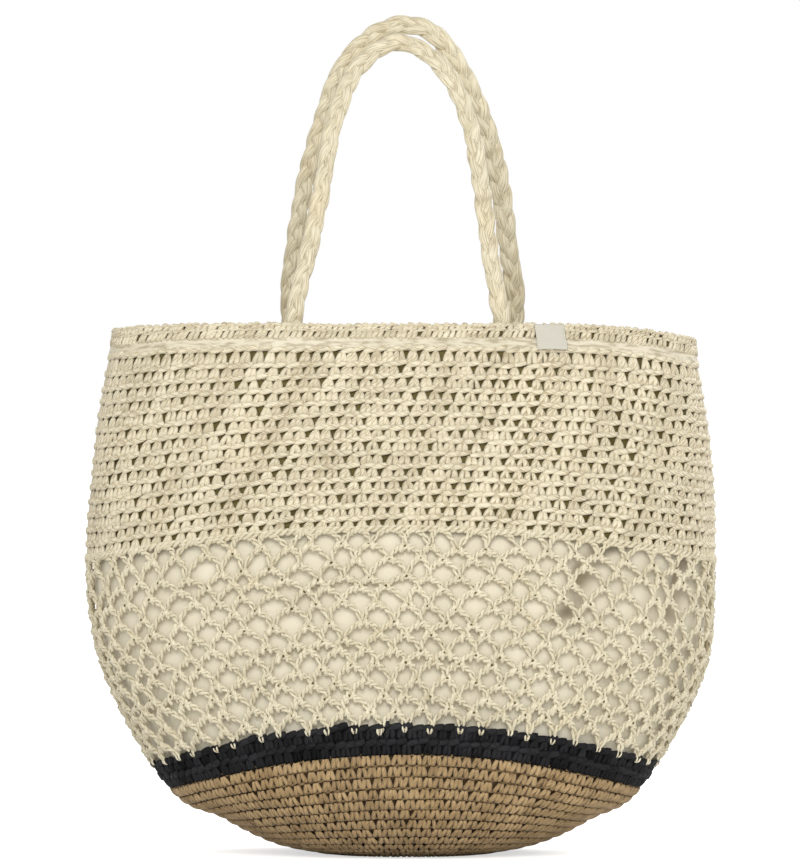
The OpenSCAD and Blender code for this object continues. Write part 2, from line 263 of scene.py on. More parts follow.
def addMesh(name, points, polygons, material, uvs=None, tones=None):
    # polygons is a list of whole arrays, each with one row of point numbers per face
    mesh = bpy.data.meshes.new(name)
    loops = np.concatenate([p.ravel() for p in polygons])
    totals = np.concatenate([np.full(len(p), p.shape[1]) for p in polygons])
    starts = np.concatenate([[0], np.cumsum(totals)[:-1]])
    mesh.vertices.add(len(points))
    mesh.vertices.foreach_set("co", np.ascontiguousarray(points, np.float32).ravel())
    mesh.loops.add(len(loops))
    mesh.loops.foreach_set("vertex_index", loops.astype(np.int32))
    mesh.polygons.add(len(totals))
    mesh.polygons.foreach_set("loop_start", starts.astype(np.int32))
    mesh.polygons.foreach_set("use_smooth", np.ones(len(totals), bool))
    if uvs is not None:
        layer = mesh.uv_layers.new(name="UVMap")
        flat = np.concatenate([u.reshape(-1, 2) for u in uvs])
        layer.data.foreach_set("uv", np.ascontiguousarray(flat, np.float32).ravel())
    if tones is not None:
        toneLayer = mesh.attributes.new("tone", "FLOAT", "POINT")
        toneLayer.data.foreach_set("value", np.ascontiguousarray(tones, np.float32))
    mesh.update(calc_edges=True)
    mesh.validate()
    mesh.materials.append(material)
    piece = bpy.data.objects.new(name, mesh)
    scene.collection.objects.link(piece)
    return piece


# A ring carried along each path: at every point an oval ring, half a width across the
# path and half a thickness outwards, with flat caps at the two ends
def tubes(centres, outs, halfWidth, halfThick, sides, twist=0.0, closed=False, lumps=0.0, lumpCount=5):
    n, m, _ = centres.shape
    if closed:
        along = unit(np.roll(centres, -1, 1) - np.roll(centres, 1, 1))
    else:
        along = unit(np.gradient(centres, axis=1))
    across = unit(np.cross(along, outs))
    normal = np.cross(across, along)
    angle = 2 * np.pi * np.arange(sides) / sides
    swell = 1 + lumps * np.cos(lumpCount * angle)
    wide = np.broadcast_to(np.asarray(halfWidth, float), (n, m))[..., None, None]
    thick = np.broadcast_to(np.asarray(halfThick, float), (n, m))[..., None, None]
    rings = (centres[:, :, None, :] + wide * (np.cos(angle) * swell)[:, None] * across[:, :, None, :]
             + thick * (np.sin(angle) * swell)[:, None] * normal[:, :, None, :])
    step = np.linalg.norm(np.diff(centres, axis=1), axis=2)
    if closed:
        step = np.concatenate([step, np.linalg.norm(centres[:, :1] - centres[:, -1:], axis=2)], 1)
    run = np.concatenate([np.zeros((n, 1)), np.cumsum(step, 1)], 1)  # metres along the path
    number = np.arange(n * m * sides).reshape(n, m, sides)
    here = number if closed else number[:, :-1]
    there = np.roll(number, -1, 1) if closed else number[:, 1:]
    segments = here.shape[1]
    quads = np.stack([here, there, np.roll(there, -1, 2), np.roll(here, -1, 2)], -1)
    k = np.arange(sides)
    a0 = np.broadcast_to(run[:, :segments, None], quads.shape[:3])
    a1 = np.broadcast_to(run[:, 1:segments + 1, None], quads.shape[:3])
    b0 = np.broadcast_to(k / sides, quads.shape[:3])
    offset = np.arange(n)[:, None, None] * 0.37
    uv = np.stack([np.stack([a * 100 + offset, b0 + k / sides + twist * a], -1)
                   for a, k in ((a0, 0), (a1, 0), (a1, 1), (a0, 1))], -2)
    polygons, uvs = [quads.reshape(-1, 4)], [uv.reshape(-1, 2)]
    if not closed:
        caps = np.concatenate([number[:, 0], number[:, -1, ::-1]])
        polygons.append(caps)
        uvs.append(np.zeros((caps.size, 2)) + 0.5)
    return rings.reshape(-1, 3), polygons, uvs


def joined(parts):
    # several sets of points and faces in one mesh
    points, polygons, uvs, tones, base = [], [], [], [], 0
    for p, faces, uv, tone in parts:
        points.append(p)
        polygons += [f + base for f in faces]
        uvs += [u.reshape(-1, 2) for u in uv]
        tones.append(tone)
        base += len(p)
    return np.concatenate(points), polygons, uvs, np.concatenate(tones)


def seat(piece, stands=(), body="bag"):
    if stands:
        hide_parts(*stands)
    if body:
        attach(piece, body)
    return piece


def yarnPiece(name, parts, material, body="bag", stands=()):
    points, polygons, uvs, tones = joined(parts)
    return seat(addMesh(name, points, polygons, material, uvs, tones), stands, body)


# A thin sheet that takes its thickness inwards
def clothPiece(name, points, polygons, material, uvs, tones, thick, stands):
    piece = addMesh(name, points.reshape(-1, 3), polygons, material, uvs, tones)
    solid = piece.modifiers.new("cloth", "SOLIDIFY")
    solid.thickness = thick
    solid.offset = -1
    return seat(piece, stands)


# Faces of a grid of rows that close on themselves
def ringQuads(number):
    beside = np.roll(number, -1, 1)
    return np.stack([number[:-1], beside[:-1], beside[1:], number[1:]], -1)


# The bag's surface
# Levels from the floor to the edge, as the pattern has them: half width, half depth,
# height at the sides and height at the front
shape = {
    "floor": (0.116, 0.096), "base": (0.332, 0.212), "baseSide": 0.046, "baseFront": 0.074,
    "band": 0.020, "net": 0.134, "netSide": 0.160, "wall": 0.123, "tape": 0.0095, "edge": 0.0085,
    "netSize": (0.422, 0.222), "belly": (0.442, 0.212), "wallSize": (0.433, 0.184), "rim": (0.409, 0.142),
    "squareness": 2.2, "sideCurve": 1.65, "netMiddle": 0.56,
    "droop": 0.010, "droopLeft": 0.003, "droopFrom": 0.105, "droopTo": 0.205, "wobble": 0.0011, "lowerShift": 0.0032,
}
rimZ = shape["baseFront"] + shape["band"] + shape["net"] + shape["wall"] + shape["tape"] + shape["edge"]
bellyZ = shape["baseFront"] + shape["band"] + shape["net"]
bellySideZ = shape["baseSide"] + shape["netSide"]


def turnLevel(w):
    (fw, fd), (bw, bd) = shape["floor"], shape["base"]
    return [fw / 2 + (bw - fw) / 2 * w, fd / 2 + (bd - fd) / 2 * math.sin(math.pi / 2 * w),
            shape["baseSide"] * w ** shape["sideCurve"], shape["baseFront"] * (1 - math.cos(math.pi / 2 * w))]


levels = np.array([
    turnLevel(0), turnLevel(1 / 3), turnLevel(2 / 3), turnLevel(1),
    [shape["netSize"][0] / 2, shape["netSize"][1] / 2, (shape["baseSide"] + bellySideZ) / 2,
     shape["baseFront"] + (bellyZ - shape["baseFront"]) * shape["netMiddle"]],
    [shape["belly"][0] / 2, shape["belly"][1] / 2, bellySideZ, bellyZ],
    [shape["wallSize"][0] / 2, shape["wallSize"][1] / 2, (bellySideZ + rimZ) / 2, (bellyZ + rimZ) / 2],
    [shape["rim"][0] / 2, shape["rim"][1] / 2, rimZ, rimZ]])


def smoothStep(x, low, high):
    t = np.clip((x - low) / (high - low), 0, 1)
    return t * t * (3 - 2 * t)


# Smooth curve through the levels, and each level an oval a little squarer than an
# ellipse; fractions of the way round are even along the level, from the front's middle
def makeSurface(rowCount, roundCount):
    v = np.linspace(-1, 7, rowCount)
    padded = np.vstack([2 * levels[0] - levels[1], levels, 2 * levels[-1] - levels[-2]])
    inside = np.clip(v, 0, 7)
    i = np.minimum(inside.astype(int), 6)
    t = (inside - i)[:, None]
    p0, p1, p2, p3 = padded[i], padded[i + 1], padded[i + 2], padded[i + 3]
    level = 0.5 * (2 * p1 + (p2 - p0) * t + (2 * p0 - 5 * p1 + 4 * p2 - p3) * t ** 2 + (3 * p1 - p0 - 3 * p2 + p3) * t ** 3)
    level[:, 2:] = np.maximum(level[:, 2:], 0)
    shrink = np.clip(v + 1, 0, 1)[:, None]  # below the first level the rings close in on the floor's middle
    u = np.linspace(-np.pi / 2, 3 * np.pi / 2, 4 * 360 + 1)
    c = np.sign(np.cos(u)) * np.abs(np.cos(u)) ** (2 / shape["squareness"])
    s = np.sign(np.sin(u)) * np.abs(np.sin(u)) ** (2 / shape["squareness"])
    x = level[:, :1] * c * shrink
    y = level[:, 1:2] * s * shrink
    z = level[:, 2:3] + (level[:, 3:4] - level[:, 2:3]) * (1 - c * c)
    ring = np.stack([x, y, z], -1)
    f = np.linspace(0, 1, roundCount + 1)
    points = np.empty((rowCount, roundCount + 1, 3))
    for row in range(rowCount):
        run = np.concatenate([[0], np.cumsum(np.linalg.norm(np.diff(ring[row], axis=0), axis=1))])
        run = run / run[-1] if run[-1] > 0 else np.linspace(0, 1, len(run))
        for axis in range(3):
            points[row, :, axis] = np.interp(f, run, ring[row, :, axis])

    def normalsOf(p):
        df = np.gradient(p, axis=1)
        df[:, 0] = df[:, -1] = p[:, 1] - p[:, -2]
        return unit(np.cross(df, np.gradient(p, axis=0)))

    outs = normalsOf(points)
    ff, vv = np.meshgrid(f, v)
    wave = (np.sin(2 * np.pi * (3 * ff + 0.21 * vv) + 1.0) + 0.7 * np.sin(2 * np.pi * (5 * ff - 0.33 * vv) + 2.3)
            + 0.5 * np.sin(2 * np.pi * (11 * ff + 0.6 * vv) + 0.4) - 0.8)
    points = points + outs * (wave * shape["wobble"] * smoothStep(vv, 0.6, 3.0))[..., None]
    points[..., 0] += shape["lowerShift"] * (1 - smoothStep(vv, 3.0, 4.8))
    droop = np.clip((points[..., 0] - shape["droopFrom"]) / (shape["droopTo"] - shape["droopFrom"]), 0, 1) ** 2
    points[..., 2] -= shape["droop"] * droop * smoothStep(vv, 4.6, 7.0)
    droopLeft = np.clip((-points[..., 0] - shape["droopFrom"]) / (shape["droopTo"] - shape["droopFrom"]), 0, 1) ** 2
    points[..., 2] -= shape["droopLeft"] * droopLeft * smoothStep(vv, 4.6, 7.0)
    outs = normalsOf(points)
    flat = (1 - smoothStep(v, -0.15, 0.15))[:, None, None]
    outs = unit(outs * (1 - flat) + np.array([0, 0, -1.0]) * flat)
    return v, points, outs


surfaceV, surfacePoints, surfaceOuts = makeSurface(801, 1440)


def bilinear(table, f, v):
    fi = (np.asarray(f) % 1.0) * (table.shape[1] - 1)
    vi = np.clip((np.asarray(v) + 1) / 8 * (table.shape[0] - 1), 0, table.shape[0] - 1.001)
    fi, vi = np.broadcast_arrays(fi, vi)
    i, j = np.minimum(fi.astype(int), table.shape[1] - 2), vi.astype(int)
    a, b = (fi - i)[..., None], (vi - j)[..., None]
    below = table[j, i] * (1 - a) + table[j, i + 1] * a
    higher = table[j + 1, i] * (1 - a) + table[j + 1, i + 1] * a
    return below * (1 - b) + higher * b


def onBag(f, v, out):
    # the point a fraction round, a level up and a distance out of the surface, and its outward direction
    normal = unit(bilinear(surfaceOuts, f, v))
    return bilinear(surfacePoints, f, v) + normal * np.asarray(out)[..., None], normal


frontZ = surfacePoints[:, 0, 2]
above = surfaceV >= 3


def levelAt(z):
    return np.interp(z, frontZ[above], surfaceV[above])


def girth(v):
    p, _ = onBag(np.linspace(0, 1, 721), np.full(721, v), 0.0)
    return np.linalg.norm(np.diff(p, axis=0), axis=1).sum()


vBase = 3.0
vBand = levelAt(shape["baseFront"] + shape["band"])
vBelly = levelAt(bellyZ)
vTape = levelAt(rimZ - shape["edge"] - shape["tape"])
vEdge = levelAt(rimZ - shape["edge"])
vTop = 7.0
print("surface ready, belly round", round(girth(5.0), 3), "edge round", round(girth(7.0), 3))


# Slow unevenness along a round: a sum of a few waves with their own phases
def drift(f, size, seed, waves=(2, 5, 9, 17)):
    phases = np.random.default_rng(seed).uniform(0, 2 * np.pi, len(waves))
    total = sum(np.sin(2 * np.pi * wave * f + p) / (i + 1.5) for i, (wave, p) in enumerate(zip(waves, phases)))
    return size * total


# One round of single crochet: every stitch is a lobe of two fat legs that close in on each
# other as they rise, and a slanted loop across the top that overlaps its neighbour's
def crochetRound(name, count, low, high, shift, look, material, stands, seed):
    r = np.random.default_rng(seed)
    place = (np.arange(count) + shift + r.uniform(-1, 1, count) * look["scatter"]) / count
    size = 1 + r.normal(0, look["uneven"], count)
    pinch = np.clip(1 + r.normal(0, look["pinch"], count) + drift(place, look["pinch"], seed + 9, (7, 16, 29)), 0.3, 1.9)
    lean = r.normal(look["lean"], 0.05, count)
    tone = np.clip(r.normal(0.6, 0.22, count), 0, 1)

    def rise(b, f):
        return low + (high - low) * (b + drift(f, look["waver"], seed + 5))

    parts = []
    t = np.linspace(0, 1, look["legPoints"])
    for side in (-1, 1):
        closing = (look["legTop"] - look["legFoot"]) * pinch[:, None] * t[None] ** look["close"]
        bend = r.normal(0, look["bend"], (count, 1)) * np.sin(np.pi * t)[None]
        a = side * (look["legFoot"] + closing) * size[:, None] + lean[:, None] * (t - 0.5)[None] + bend
        b = look["legLow"] + (look["legHigh"] - look["legLow"]) * t
        out = look["depth"] + look["bulge"] * np.sin(np.pi * t)
        f = place[:, None] + a / count
        centres, outs = onBag(f, rise(b[None], f), np.broadcast_to(out, f.shape))
        plump = 0.72 + 0.28 * np.sin(np.pi * (0.1 + 0.8 * t))
        taper = look["legWidth"] + (look["legTopWidth"] - look["legWidth"]) * t
        half = (taper / 2 * plump)[None] * (1 + r.normal(0, 0.08, count))[:, None] * (1 + 0.25 * (1 - pinch))[:, None]
        p, polygons, uv = tubes(centres, outs, half, look["legThick"] / 2 * plump[None], look["sides"], twist=60)
        parts.append((p, polygons, uv, np.repeat(tone, look["legPoints"] * look["sides"])))
    t = np.linspace(0, 1, look["loopPoints"])
    a = (t - 0.5) * look["loopLength"]
    b = look["loopHeight"] + look["loopSlant"] * (t - 0.5)
    out = look["loopDepth"] + look["loopLift"] * (t - 0.5) + look["bulge"] * 0.6 * np.sin(np.pi * t)
    f = place[:, None] + 0.5 / count + (a[None] + r.normal(0, 0.03, (count, 1))) / count
    heights = b[None] + r.normal(0, look["loopScatter"], (count, 1))
    centres, outs = onBag(f, rise(heights, f), np.broadcast_to(out, f.shape))
    plump = 0.66 + 0.34 * np.sin(np.pi * (0.1 + 0.8 * t))
    half = look["loopWidth"] / 2 * plump[None] * (1 + r.normal(0, 0.07, count))[:, None]
    p, polygons, uv = tubes(centres, outs, half, look["loopThick"] / 2 * plump[None], look["sides"], twist=60)
    # Painted light: the top loop's tone is raised on the wall, band and edge rounds as a painted highlight, and lowered
    # on the base as painted shade between rows
    loopPaintedLightTone = np.clip(tone + look["loopPaintedLightTone"], 0, 1)
    parts.append((p, polygons, uv, np.repeat(loopPaintedLightTone, look["loopPoints"] * look["sides"])))
    return yarnPiece(name, parts, material, stands=stands)


# Shell behind the stitches: the round's own levels at two depths, closed over the top and bottom. With the
# painted-shade straws it is painted shade that shows through the gaps between stitches; behind the dark band it is the
# band's own black straw
def backing(name, low, high, depths, material, rows, around=240):
    f = np.linspace(0, 1, around, endpoint=False)
    v = np.linspace(low, high, rows)
    vs = np.concatenate([v, v[::-1]])
    ds = np.repeat([-depths[0], -depths[1]], rows)
    grid = (around, 2 * rows)
    points, _ = onBag(np.broadcast_to(f[:, None], grid), np.broadcast_to(vs, grid), np.broadcast_to(ds, grid))
    number = np.arange(around * 2 * rows).reshape(around, 2 * rows)
    nextRound, nextUp = np.roll(number, -1, 0), np.roll(number, -1, 1)
    quads = np.stack([number, nextRound, np.roll(nextRound, -1, 1), nextUp], -1)
    uv = np.stack([np.broadcast_to(f[:, None, None] * 40, quads.shape),
                   np.broadcast_to(vs[None, :, None], quads.shape)], -1)
    seat(addMesh(name, points.reshape(-1, 3), [quads.reshape(-1, 4)], material, [uv.reshape(-1, 2)],
                 np.full(number.size, 0.5)))


# Upper wall: fourteen rounds
wallLook = {
    "rounds": 14, "stitches": 116, "shift": 0.45, "scatter": 0.10, "uneven": 0.08, "lean": 0.06, "waver": 0.05,
    "legPoints": 6, "sides": 6, "legFoot": 0.25, "legTop": 0.09, "close": 1.9, "pinch": 0.22, "bend": 0.03,
    "legLow": -0.02, "legHigh": 0.82, "legWidth": 0.0058, "legTopWidth": 0.0033, "legThick": 0.0026,
    "depth": -0.0020, "bulge": 0.0005,
    "loopPoints": 6, "loopLength": 1.18, "loopHeight": 0.96, "loopSlant": 0.22, "loopScatter": 0.05,
    "loopDepth": -0.0010, "loopLift": 0.0009, "loopWidth": 0.0041, "loopThick": 0.0029, "loopPaintedLightTone": 0.25,
}
wallZ = np.linspace(bellyZ, rimZ - shape["edge"] - shape["tape"], wallLook["rounds"] + 1)
wallV = levelAt(wallZ)
wallV[-1] += 0.03
for k in range(wallLook["rounds"]):
    crochetRound(f"upper_wall_round_{k + 1:02d}", wallLook["stitches"], wallV[k], wallV[k + 1], k * wallLook["shift"],
                 wallLook, creamStraw, ("upper_wall",), 100 + k)
# Painted shade: a dark shell behind the wall stitches makes the gaps between them read as shadow
backing("upper_wall_painted_shade_shell", vBelly + 0.03, vTape + 0.1, (0.0029, 0.0037), creamPaintedShade, 30)
print("upper wall ready")

# Brown base: rounds from the middle of the floor, then up the turn
baseLook = dict(wallLook, **{
    "stitchWidth": 0.0070, "floorRounds": 7, "turnRounds": 13, "shift": 0.42, "scatter": 0.12, "uneven": 0.08, "waver": 0.04,
    "legFoot": 0.36, "legTop": 0.14, "close": 1.1, "pinch": 0.10, "legLow": 0.05, "legHigh": 0.88,
    "legWidth": 0.0040, "legTopWidth": 0.0032, "legThick": 0.0025, "depth": -0.0015, "bulge": 0.0005,
    "loopHeight": 0.98, "loopWidth": 0.0020, "loopThick": 0.0018, "loopDepth": -0.0030, "loopLift": 0.0006, "loopPaintedLightTone": -0.7,
})
climb = np.array([onBag(0.0, v, 0.0)[0] for v in np.linspace(0, 3, 121)])
climbRun = np.concatenate([[0], np.cumsum(np.linalg.norm(np.diff(climb, axis=0), axis=1))])
turnV = np.interp(np.linspace(0, climbRun[-1], baseLook["turnRounds"] + 1), climbRun, np.linspace(0, 3, 121))
floorV = np.linspace(-1, 0, baseLook["floorRounds"] + 1)
baseV = np.concatenate([floorV, turnV[1:]])
for k in range(len(baseV) - 1):
    middle = (baseV[k] + baseV[k + 1]) / 2
    count = max(6, int(round(girth(middle) / baseLook["stitchWidth"])))
    crochetRound(f"base_round_{k + 1:02d}", count, baseV[k], baseV[k + 1], k * baseLook["shift"],
                 baseLook, camelStraw, ("base_crochet",), 300 + k)
# Painted shade: a dark shell behind the base stitches makes the gaps between them read as shadow
backing("base_painted_shade_shell", -0.999, vBase - 0.01, (0.0028, 0.0037), camelPaintedShade, 44)
print("base ready")

# Dark band: two rounds
bandLook = dict(wallLook, **{"stitches": 128, "legWidth": 0.0046, "legTopWidth": 0.0032, "loopWidth": 0.0052,
                             "loopThick": 0.0027, "loopHeight": 0.88, "waver": 0.04, "legHigh": 0.86})
bandV = levelAt(np.linspace(shape["baseFront"], shape["baseFront"] + shape["band"], 3))
for k in range(2):
    crochetRound(f"dark_band_round_{k + 1}", bandLook["stitches"], bandV[k], bandV[k + 1], k * 0.45, bandLook, darkStraw,
                 ("dark_band",), 500 + k)
backing("dark_band_back", vBase, vBand - 0.01, (0.0028, 0.0037), darkStraw, 5)
print("dark band ready")

# Net: rows of chain arches, each hooked into the tops of the two arches below
netLook = {
    "rows": 13, "arches": 54, "points": 14, "sides": 5, "strand": 0.0024, "ply": 0.0015, "twists": 6.5,
    "depth": -0.0018, "lift": 0.0010, "scatter": 0.18, "waver": 0.20, "power": 0.48, "hook": 0.20,
    "chain": 5, "lumps": 0.16, "cordTwists": 110, "cordWidth": 0.0028, "eyeOut": 0.0008, "eyeSize": 0.0011,
    "knotPoints": 6, "knotWidth": 0.0033, "knotThick": 0.0028, "knotLift": 0.0014,
    "knot": {"foot": 0.15, "top": 0.08, "low": -0.46, "tall": 0.80, "lift": 0, "size": 1},
    "bandKnot": {"foot": 0.03, "top": 0.08, "low": -0.16, "tall": 0.50, "lift": 0.0010, "size": 0.42},
}
netZ = np.linspace(shape["baseFront"] + shape["band"], bellyZ, netLook["rows"] + 1)
netV = levelAt(netZ)


def knotPlaces(row):
    # where the arches of a row stand, as fractions round and levels
    n = netLook["arches"]
    r = np.random.default_rng(700 + row)
    f = (np.arange(n) + 0.5 * row + r.uniform(-1, 1, n) * netLook["scatter"]) / n
    step = netV[min(row + 1, netLook["rows"])] - netV[min(row, netLook["rows"] - 1)]
    v = netV[row] + step * (drift(f, netLook["waver"], 40 + row) + r.normal(0, 0.05, n))
    return f, v


for row in range(netLook["rows"]):
    n = netLook["arches"]
    f0, v0 = knotPlaces(row)
    f1, v1 = np.roll(f0, -1).copy(), np.roll(v0, -1)
    f1[-1] += 1
    # arch i of a row stands on knots i and i + 1, and carries knot i of the next row at its top
    topF, topV = knotPlaces(row + 1)
    if row + 1 == netLook["rows"]:
        topV = np.full(n, netV[-1])
    if row == 0:  # the first arches hook over the dark band
        v0 = v0 - netLook["hook"] * (netV[1] - netV[0])
        v1 = np.roll(v0, -1)
    t = np.linspace(0, 1, netLook["points"])
    hump = np.sin(np.pi * t) ** netLook["power"]
    base = v0[:, None] * (1 - t) + v1[:, None] * t
    middle = (v0 + v1) / 2
    v = base + (topV - middle)[:, None] * hump[None]
    # the feet stay close together before the sides open out
    ease = t + 0.02 * np.sin(4 * np.pi * t)
    f = f0[:, None] * (1 - ease) + f1[:, None] * ease + (topF - (f0 + f1) / 2)[:, None] * hump[None]
    centres, outs = onBag(f, v, netLook["depth"] + netLook["lift"] * hump[None] + 0 * f)
    along = unit(np.gradient(centres, axis=1))
    across = np.cross(along, outs)
    r = np.random.default_rng(800 + row)
    start = r.uniform(0, 2 * np.pi, n)[:, None]
    tone = np.clip(r.normal(0.62, 0.2, n), 0, 1)
    parts = []
    for ply in (0, np.pi):
        turn = start + 2 * np.pi * netLook["twists"] * t[None] / 2 + ply
        lumpy = netLook["strand"] / 2 * (1 + netLook["lumps"] * np.sin(2 * np.pi * netLook["chain"] * t[None] + start))
        line = centres + netLook["ply"] * (np.cos(turn)[..., None] * across + 0.8 * np.sin(turn)[..., None] * outs)
        p, polygons, uv = tubes(line, outs, lumpy, lumpy, netLook["sides"], twist=90)
        parts.append((p, polygons, uv, np.repeat(tone, netLook["points"] * netLook["sides"])))
    # the knot: a fat stitch whose two legs wrap the top of the arch below, or reach down over the dark band
    knot = netLook["bandKnot"] if row == 0 else netLook["knot"]
    w = np.linspace(0, 1, netLook["knotPoints"])
    step = netV[1] - netV[0]
    for side in (-1, 1):
        straddle = knot["foot"] + (knot["top"] - knot["foot"]) * w + 0.02 * np.sin(np.pi * w)
        knotF = f0[:, None] + (side * straddle[None] + r.normal(0, 0.012, (n, 1))) / n
        knotV = v0[:, None] + step * (w * knot["tall"] + knot["low"])[None]
        knotOut = netLook["depth"] + knot["lift"] + netLook["knotLift"] * np.sin(np.pi * w)[None]
        knots, knotOuts = onBag(knotF, knotV, knotOut + 0 * knotF)
        plump = (0.6 + 0.4 * np.sin(np.pi * (0.1 + 0.8 * w)))[None]
        fat = plump * (1 + r.normal(0, 0.12, (n, 1))) * knot["size"] / 2
        p, polygons, uv = tubes(knots, knotOuts, netLook["knotWidth"] * fat, netLook["knotThick"] * fat, 6, twist=60)
        parts.append((p, polygons, uv, np.repeat(np.clip(tone + 0.2, 0, 1), 6 * netLook["knotPoints"])))
    yarnPiece(f"net_row_{row + 1:02d}", parts, netStraw, stands=("net_band",))
    if row > 0:
        # painted shade: a small dark blob beside each knot stands for the shadowed hole where the hook went through
        eyeF = f0 + r.normal(0, 0.03, n) / n
        eyes, eyeOuts = onBag(eyeF, v0 + step * r.normal(0.06, 0.06, n), np.full(n, netLook["eyeOut"]))
        eyeAcross = unit(np.cross([0, 0, 1.0], eyeOuts) + 0.5 * np.array([0, 0, 1.0]))
        size = r.uniform(0.35, 1.0, n)[:, None]
        length = np.array([-0.0009, -0.0003, 0.0005, 0.0009])[None, :, None]
        line = eyes[:, None, :] + size[..., None] * length * eyeAcross[:, None, :]
        girths = netLook["eyeSize"] * size * np.array([[0.4, 1.0, 0.8, 0.4]])
        p, polygons, uv = tubes(line, np.repeat(eyeOuts[:, None, :], 4, 1), girths, girths * 5 / 11, 6)
        yarnPiece(f"net_eye_painted_shade_{row + 1:02d}", [(p, polygons, uv, np.full(len(p), 0.4))], creamPaintedShade)
# A two-ply cord runs round where the wall's first stitches take up the net
f = np.linspace(0, 1, 900, endpoint=False)[None]
centres, outs = onBag(f, netV[-1] + 0.012 + 0 * f, netLook["depth"] + 0.0006 + 0 * f)
across = np.cross(unit(np.roll(centres, -1, 1) - centres), outs)
parts = []
for ply in (0, np.pi):
    turn = (2 * np.pi * netLook["cordTwists"] * f + ply)[..., None]
    line = centres + netLook["ply"] * (np.cos(turn) * across + 0.8 * np.sin(turn) * outs)
    half = netLook["cordWidth"] / 2
    p, polygons, uv = tubes(line, outs, half, half, netLook["sides"], twist=90, closed=True)
    parts.append((p, polygons, uv, np.full(len(p), 0.6)))
yarnPiece("net_top_cord", parts, netStraw, stands=("net_band",))
print("net ready")

# Smooth tape under the edge, a pillow-shaped strip that runs right round
tapeLook = {"depth": -0.0009, "proud": 0.0009, "thick": 0.0008, "around": 480, "across": 9, "waver": 0.06}
f = np.linspace(0, 1, tapeLook["around"], endpoint=False)
t = np.linspace(0, 1, tapeLook["across"])
pillow = np.stack([t, tapeLook["proud"] * np.sin(np.pi * t) ** 0.45], -1)
underside = np.stack([t[-2:0:-1], np.full(tapeLook["across"] - 2, -tapeLook["thick"])], -1)
section = np.concatenate([pillow, underside])
ff = np.broadcast_to(f[:, None], (len(f), len(section)))
wander = drift(ff, tapeLook["waver"], 61, (3, 8, 19, 31))
vv = vTape + (vEdge - vTape) * (section[None, :, 0] * 1.05 + 0.02 + wander)
ripple = drift(ff, 0.00025, 62, (13, 37, 71, 120)) * np.sin(np.pi * section[None, :, 0])
points, outs = onBag(ff, vv, tapeLook["depth"] + section[None, :, 1] + ripple)
number = np.arange(points.shape[0] * points.shape[1]).reshape(points.shape[:2])
quads = np.stack([number, np.roll(number, -1, 0), np.roll(np.roll(number, -1, 0), -1, 1), np.roll(number, -1, 1)], -1)
turnRound = np.arange(len(f))[:, None]
stepUp = np.arange(len(section))[None]
uv = np.stack([np.stack([(turnRound + a) / len(f) * 90 + 0 * number, (stepUp + b) / len(section) * 2 + 0 * number], -1)
               for a, b in ((0, 0), (1, 0), (1, 1), (0, 1))], -2)
tone = np.clip(0.6 + drift(ff, 0.3, 63, (4, 11, 23, 47)), 0, 1).ravel()
seat(addMesh("rim_tape_strip", points.reshape(-1, 3), [quads.reshape(-1, 4)], flatTape, [uv.reshape(-1, 2)], tone),
     ("rim_tape",))

# Worked edge: two rounds of slanted stitches, and a row of loops over the top
edgeLook = dict(wallLook, **{
    "lean": 0.34, "legFoot": 0.24, "legTop": 0.20, "close": 1.0, "legLow": -0.05, "legHigh": 1.0,
    "legWidth": 0.0042, "legTopWidth": 0.0036, "legThick": 0.0024, "depth": -0.0006, "bulge": 0.0004,
    "loopWidth": 0.0020, "loopThick": 0.0022, "loopHeight": 0.98, "loopDepth": -0.0004, "waver": 0.06,
})
edgeV = np.array([vEdge - 0.012, (vEdge + vTop) / 2 + 0.005, vTop - 0.005])
for k in range(2):
    crochetRound(f"rim_edge_round_{k + 1}", edgeLook["stitches"], edgeV[k], edgeV[k + 1], k * 0.5, edgeLook, creamStraw,
                 ("rim_edge",), 600 + k)
# The same stitches show on the inside, where they turn over the edge
innerLook = dict(edgeLook, **{"depth": -0.0036, "bulge": -0.0003, "loopDepth": -0.0036})
crochetRound("rim_edge_inside", edgeLook["stitches"], vEdge + 0.03, vTop - 0.004, 0.3, innerLook, creamStraw,
             ("rim_edge",), 620)
# Painted shade: a dark core between the outer and inner edge stitches makes the gaps read as shadow
backing("rim_edge_painted_shade_core", vTape + 0.02, vTop - 0.02, (0.0015, 0.0033), creamPaintedShade, 6)
n = 150
r = np.random.default_rng(640)
t = np.linspace(0, 1, 7)
place = np.arange(n)[:, None] + r.uniform(-0.22, 0.22, (n, 1))
f = (place + (0.75 * (t - 0.5))[None] * r.uniform(0.7, 1.3, (n, 1))) / n
out = 0.0004 - 0.0050 * t
up = vTop + (vTop - vEdge) * (0.20 * np.sin(np.pi * t) - 0.16)
centres, outs = onBag(f, np.minimum(up, vTop)[None] + 0 * f, out[None] + 0 * f)
centres[..., 2] += np.sin(np.pi * t)[None] * r.uniform(0.0004, 0.0012, (n, 1))
ups = np.broadcast_to(np.array([0, 0, 1.0]), centres.shape)
fat = 0.6 + 0.4 * np.sin(np.pi * (0.1 + 0.8 * t))
half = 0.0019 * fat[None] * r.uniform(0.8, 1.15, (n, 1))
p, polygons, uv = tubes(centres, unit(ups + 0.25 * outs), half, 0.0012 * fat[None], 6, twist=60)
tone = np.repeat(np.clip(r.normal(0.65, 0.2, n), 0, 1), 6 * len(t))
yarnPiece("rim_edge_top_loops", [(p, polygons, uv, tone)], creamStraw)
print("edge ready")

